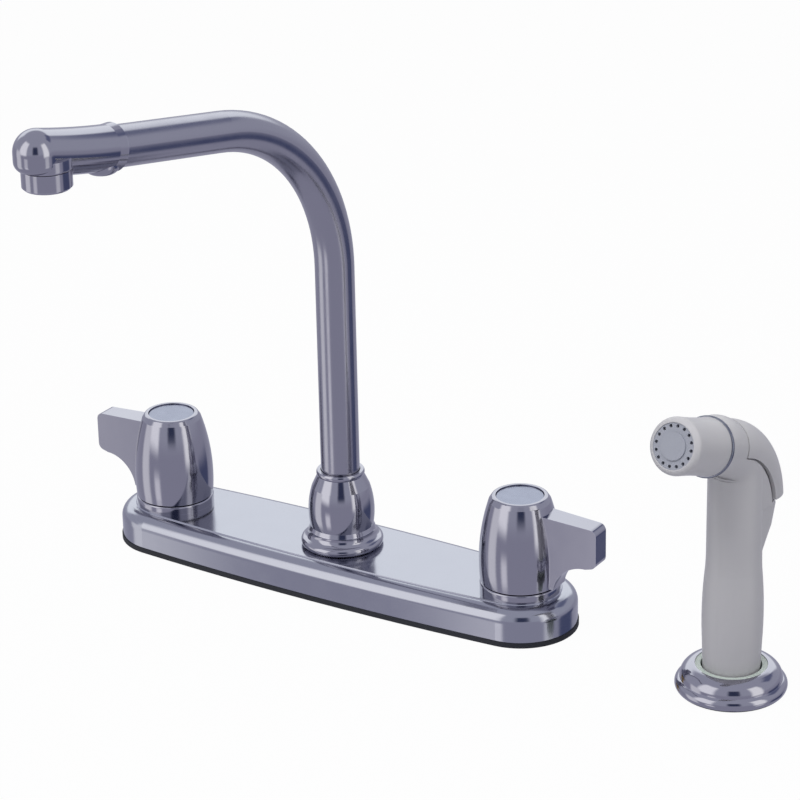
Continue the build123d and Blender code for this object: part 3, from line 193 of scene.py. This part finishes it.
def build_floor():
    """A plain pale floor at deck level; it keeps a faint shadow of the object."""
    bpy.ops.object.select_all(action="DESELECT")
    bpy.ops.mesh.primitive_circle_add(vertices=FLOOR_SIDES, radius=FLOOR_RADIUS, fill_type="NGON",
                                      location=(0, 0, -FLOOR_DROP))
    floor = bpy.context.object
    floor.name = "studio_floor"
    bpy.ops.object.transform_apply(location=True, rotation=True, scale=True)
    material, tree = new_material("white seamless paper")
    paper = add(tree, "BsdfDiffuse", inputs={"Color": FLOOR_PAPER})
    white = add(tree, "Emission", inputs={"Color": WHITE, "Strength": 1.0})
    path = add(tree, "LightPath")
    seen = add(tree, "Math", operation="MULTIPLY", inputs={1: FLOOR_WHITE_SHARE},
               links={0: path.outputs["Is Camera Ray"]})
    both = add(tree, "MixShader", links={0: seen.outputs[0], 1: paper.outputs[0], 2: white.outputs[0]})
    add(tree, "OutputMaterial", links={"Surface": both.outputs[0]})
    floor.data.materials.append(material)
    floor.visible_glossy = False


def soft_box(name, azimuth, elevation, distance, size, power):
    """A square area lamp that faces the middle of the faucet."""
    away = towards(azimuth, elevation)
    data = bpy.data.lights.new(name, "AREA")
    data.shape = "SQUARE"
    data.size = size
    data.energy = power
    lamp = bpy.data.objects.new(name, data)
    lamp.location = LAMP_AIM + away * distance
    lamp.rotation_mode = "QUATERNION"
    lamp.rotation_quaternion = away.to_track_quat("Z", "Y")
    lamp.visible_glossy = False
    bpy.context.scene.collection.objects.link(lamp)


build_world()
build_floor()
soft_box("key_box", azimuth=-8, elevation=64, distance=1.8, size=1.1, power=19)
soft_box("fill_box", azimuth=80, elevation=52, distance=1.9, size=1.1, power=8)
bpy.context.scene.view_settings.view_transform = "Standard"

# ------------------------------------------------------------------ materials
RIPPLE_DEPTH = 0.0002  # metres
EDGE_RADIUS = 0.0006  # metres of each edge that handling has rubbed brighter
EDGE_BRIGHTER = 1.22
EDGE_SAMPLES = 4
GRAIN_DEPTH = 0.0001  # metres
DRIFT_MM = 60.0  # how far apart a plastic's tone drifts
SKIN_DEPTH = 0.002  # metres that light goes into a translucent plastic


def noise(tree, place, size_mm, **inputs):
    """Cloudy pattern whose clouds are about size_mm wide."""
    return add(tree, "TexNoise", inputs={"Scale": 1000 / size_mm, **inputs},
               links={"Vector": place.outputs["Object"]}).outputs["Fac"]


def plated(name, colour, roughness, haze_mm, haze, ripple_mm, ripple):
    """Plate, or bare metal, over a finished part: haze from polishing, a faint ripple, bright edges."""
    material, tree = new_material(name)
    place = add(tree, "TexCoord")
    cloud = noise(tree, place, haze_mm, Detail=4.0, Roughness=0.6)
    dull = add(tree, "MapRange", inputs={"From Min": 0.3, "From Max": 0.75,
                                         "To Min": roughness - haze, "To Max": roughness + haze},
               links={"Value": cloud})
    wave = noise(tree, place, ripple_mm, Detail=1.0)
    bump = add(tree, "Bump", inputs={"Strength": ripple, "Distance": RIPPLE_DEPTH}, links={"Height": wave})
    rounded = add(tree, "Bevel", inputs={"Radius": EDGE_RADIUS}, samples=EDGE_SAMPLES)
    surface = add(tree, "NewGeometry")
    alike = add(tree, "VectorMath", operation="DOT_PRODUCT",
                links={0: rounded.outputs[0], 1: surface.outputs["Normal"]})
    rubbed = add(tree, "MapRange", inputs={"From Min": 0.995, "From Max": 0.9},
                 links={"Value": alike.outputs["Value"]})
    bright = [min(1.0, c * EDGE_BRIGHTER) for c in linear(colour)]
    tint = blend(tree, rubbed.outputs[0], linear(colour), bright)
    metal = add(tree, "BsdfPrincipled", inputs={"Metallic": 1.0},
                links={"Base Color": tint, "Roughness": dull.outputs[0], "Normal": bump.outputs[0]})
    add(tree, "OutputMaterial", links={"Surface": metal.outputs[0]})
    return material


def moulded(name, colour, roughness, grain_mm, grain, drift=0.03, translucence=0.0):
    """Injection moulded plastic: very fine mould texture, and a slight drift in its tone."""
    material, tree = new_material(name)
    place = add(tree, "TexCoord")
    cloud = noise(tree, place, DRIFT_MM, Detail=2.0)
    darker = [c * (1 - drift) for c in linear(colour)[:3]] + [1.0]
    tint = blend(tree, cloud, darker, linear(colour))
    fine = noise(tree, place, grain_mm, Detail=3.0)
    bump = add(tree, "Bump", inputs={"Strength": grain, "Distance": GRAIN_DEPTH}, links={"Height": fine})
    dull = add(tree, "MapRange", inputs={"To Min": roughness - 0.04, "To Max": roughness + 0.04},
               links={"Value": fine})
    plastic = add(tree, "BsdfPrincipled", inputs={"IOR": 1.5},
                  links={"Base Color": tint, "Roughness": dull.outputs[0], "Normal": bump.outputs[0]})
    if translucence:
        plastic.inputs["Subsurface Weight"].default_value = translucence
        plastic.inputs["Subsurface Radius"].default_value = (1.0, 1.0, 0.9)
        plastic.inputs["Subsurface Scale"].default_value = SKIN_DEPTH
    add(tree, "OutputMaterial", links={"Surface": plastic.outputs[0]})
    return material


# Polished zinc casting under bright plate: mirror-like, with long soft wobbles in what it mirrors.
chrome_cast = plated("chrome plate on die cast zinc", "#a6a5b0",
                     roughness=0.11, haze_mm=9.0, haze=0.03, ripple_mm=14.0, ripple=0.10)
# Drawn tube: its draw marks are buffed, so the mirror is blurred into soft lengthwise bands.
chrome_tube = plated("chrome plate on drawn brass tube", "#a6a5b0",
                     roughness=0.20, haze_mm=12.0, haze=0.04, ripple_mm=18.0, ripple=0.06)
# Sheet pressed over a tool: one broad pale sheen on top, slowly waving, a little softer than the casting.
chrome_pressing = plated("chrome plate on pressed brass sheet", "#a9aab5",
                         roughness=0.15, haze_mm=11.0, haze=0.03, ripple_mm=22.0, ripple=0.10)
# Turned and buffed rings and nuts: the sharpest mirror here, with the tightest highlights.
chrome_turned = plated("chrome plate on turned brass", "#a6a5b0",
                       roughness=0.09, haze_mm=7.0, haze=0.02, ripple_mm=12.0, ripple=0.05)
# Plated over a finely blasted button: grey blue and even, no mirror image; grain drawn coarser than real.
satin_chrome = plated("satin chrome on stamped button", "#9195a7",
                      roughness=0.28, haze_mm=5.0, haze=0.04, ripple_mm=9.0, ripple=0.08)
# Thin rolled ring between nozzle and neck of the sprayer, in its shadow gap: its chrome colour is painted
# darker than the other chrome, painted shade that draws a darker line between two white parts.
chrome_ring_painted_shade = plated("chrome plate on rolled steel strip with painted shade", "#81848f",
                       roughness=0.16, haze_mm=7.0, haze=0.03, ripple_mm=12.0, ripple=0.05)
# Bare machined brass under the deck: warm yellow, cloudy from handling, no clear mirror.
brass = plated("machined brass", "#c9ad74",
               roughness=0.30, haze_mm=2.0, haze=0.06, ripple_mm=3.0, ripple=0.15)
# Plain drawn or stamped steel: neutral grey with a broad soft highlight.
steel = plated("plain stainless steel", "#b9b9b6",
               roughness=0.34, haze_mm=3.0, haze=0.06, ripple_mm=5.0, ripple=0.10)
# Fine textured mould, light passing just under the skin: soft white with no hard highlight. The mould
# grain is drawn at 0.7 mm, coarser than the real one, so that it shows at all.
white_abs = moulded("white moulded ABS", "#c4c3c6",
                    roughness=0.38, grain_mm=0.7, grain=0.08, drift=0.04, translucence=0.15)
# The same mould finish in a greyer plastic: the sprayer's face reads as a darker disc.
face_abs = moulded("grey white moulded ABS", "#9fa2ad", roughness=0.40, grain_mm=0.7, grain=0.08)
# Milky insert that lets light in: a pale green-grey rim that glows a little next to the chrome.
holder_pe = moulded("pale translucent polyethylene", "#c2cdc6",
                    roughness=0.34, grain_mm=0.8, grain=0.06, drift=0.04, translucence=0.5)
# Cut and moulded rubber: near black and dull, a thin dark line under the plate.
rubber = moulded("black moulded rubber", "#1f2128", roughness=0.62, grain_mm=0.5, grain=0.25, drift=0.2)
# Unpolished acetal of the hidden parts: flat mid grey.
grey_plastic = moulded("grey moulded acetal", "#84888c", roughness=0.45, grain_mm=0.6, grain=0.12)

LOOK_OF_SLOT = {
    "chrome_plate": chrome_cast,
    "brass": brass,
    "black_rubber": rubber,
    "stainless_steel": steel,
    "white_plastic": white_abs,
    "grey_white_plastic": face_abs,
    "pale_plastic": holder_pe,
    "grey_plastic": grey_plastic,
}
# Chrome plated pieces that aren't castings.
LOOK_OF_NODE = {
    "spout_tube": chrome_tube,
    "deck_plate": chrome_pressing,
    "aerator_shell": chrome_turned,
    "trim_ring": chrome_ring_painted_shade,
    "holder_ring": chrome_turned,
    "spout_nut": chrome_turned,
    "left_index_button": satin_chrome,
    "right_index_button": satin_chrome,
}
for row in frame["record"]["subparts"]:
    node = nodes[row["node"]]
    node.data.materials.clear()
    node.data.materials.append(LOOK_OF_NODE.get(row["node"], LOOK_OF_SLOT[row["material_slot"]]))
